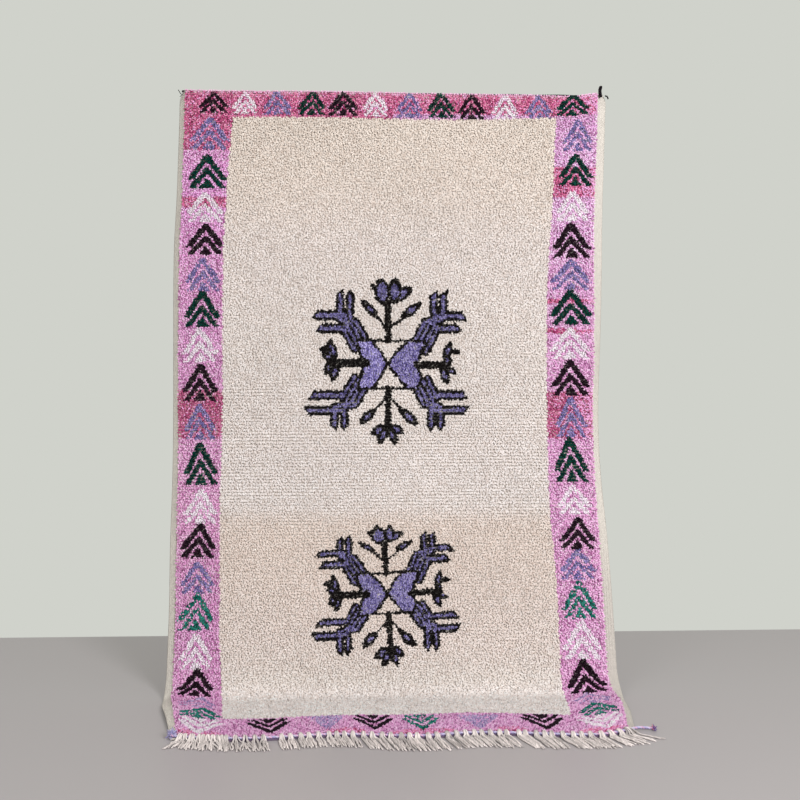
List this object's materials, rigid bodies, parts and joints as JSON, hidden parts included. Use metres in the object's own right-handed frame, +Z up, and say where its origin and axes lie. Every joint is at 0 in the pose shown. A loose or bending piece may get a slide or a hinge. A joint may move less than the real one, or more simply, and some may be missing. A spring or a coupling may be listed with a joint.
{
  "type": "hand-knotted wool pile rug",
  "caption": "Hand-knotted wool rug with a chevron border and two flower medallions, hung from its top edge with its fringed foot on the floor.",
  "frame": {"origin": "middle of the top edge, on the back of the cloth", "axes": "+Z up the hanging cloth, +X across it to the right as seen from the pile side, pile facing -Y"},
  "size_m": [1.5318, 0.8398, 2.0761],
  "materials": {
    "pile": "cut wool pile, cream field, pink border",
    "warp_yarn": "plied cream yarn",
    "twined_yarn": "twined lilac, navy and pink yarn",
    "black_yarn": "twined black yarn"
  },
  "bodies": {
    "root": {"rug": "pile", "fringe": "warp_yarn", "foot_cord": "twined_yarn", "top_cord": "black_yarn", "tail_left_up": "black_yarn", "tail_left_out": "black_yarn", "tail_right": "black_yarn", "tail_right_tuft": "black_yarn"}
  },
  "joints": []
}
